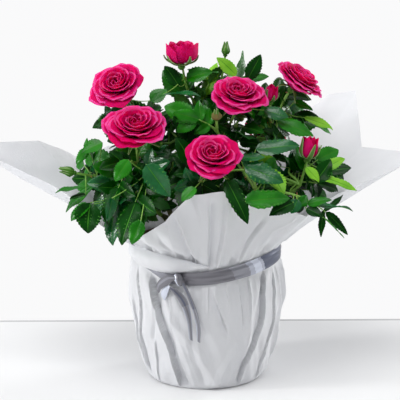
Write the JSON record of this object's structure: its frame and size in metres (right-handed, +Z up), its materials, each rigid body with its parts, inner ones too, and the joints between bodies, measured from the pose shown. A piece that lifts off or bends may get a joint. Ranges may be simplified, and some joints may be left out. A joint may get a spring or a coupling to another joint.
{
  "type": "potted rose bush",
  "caption": "Miniature rose bush with open blooms and buds, in a round pot inside a flared paper wrap tied with a satin ribbon.",
  "frame": {"origin": "middle of the wrap's flat underside, on the pot's axis, at floor level", "axes": "+Z up along the pot's axis; -Y is the plant's front, the side with the ribbon's knot; +X is to the right of someone facing the front"},
  "size_m": [0.367, 0.2021, 0.2731],
  "materials": {
    "foliage": "satin leaves with darker veins",
    "bark": "smooth green stems",
    "paper": "matte white florist's paper",
    "satin": "glossy satin",
    "pot": "matte",
    "soil": "rough, damp peat"
  },
  "bodies": {
    "root": {"pot": "pot", "soil": "soil", "wrap": "paper", "ribbon_band": "satin", "ribbon_knot": "satin", "ribbon_loop": "satin", "ribbon_tail_left": "satin", "ribbon_tail_right": "satin", "cane_left": "bark", "cane_front": "bark", "cane_right": "bark", "cane_back": "bark", "bough_left_high": "bark", "bough_left_side": "bark", "bough_front_left": "bark", "bough_front": "bark", "bough_front_right": "bark", "bough_centre": "bark", "bough_right_side": "bark", "bough_right_high": "bark", "bough_top": "bark", "bough_back_left": "bark", "bough_back": "bark", "bough_back_right": "bark", "mass_left_high": "foliage", "mass_left_side": "foliage", "mass_front_left": "foliage", "mass_front": "foliage", "mass_front_right": "foliage", "mass_centre": "foliage", "mass_right_side": "foliage", "mass_right_high": "foliage", "mass_top": "foliage", "mass_back_left": "foliage", "mass_back": "foliage", "mass_back_right": "foliage"}
  },
  "joints": []
}
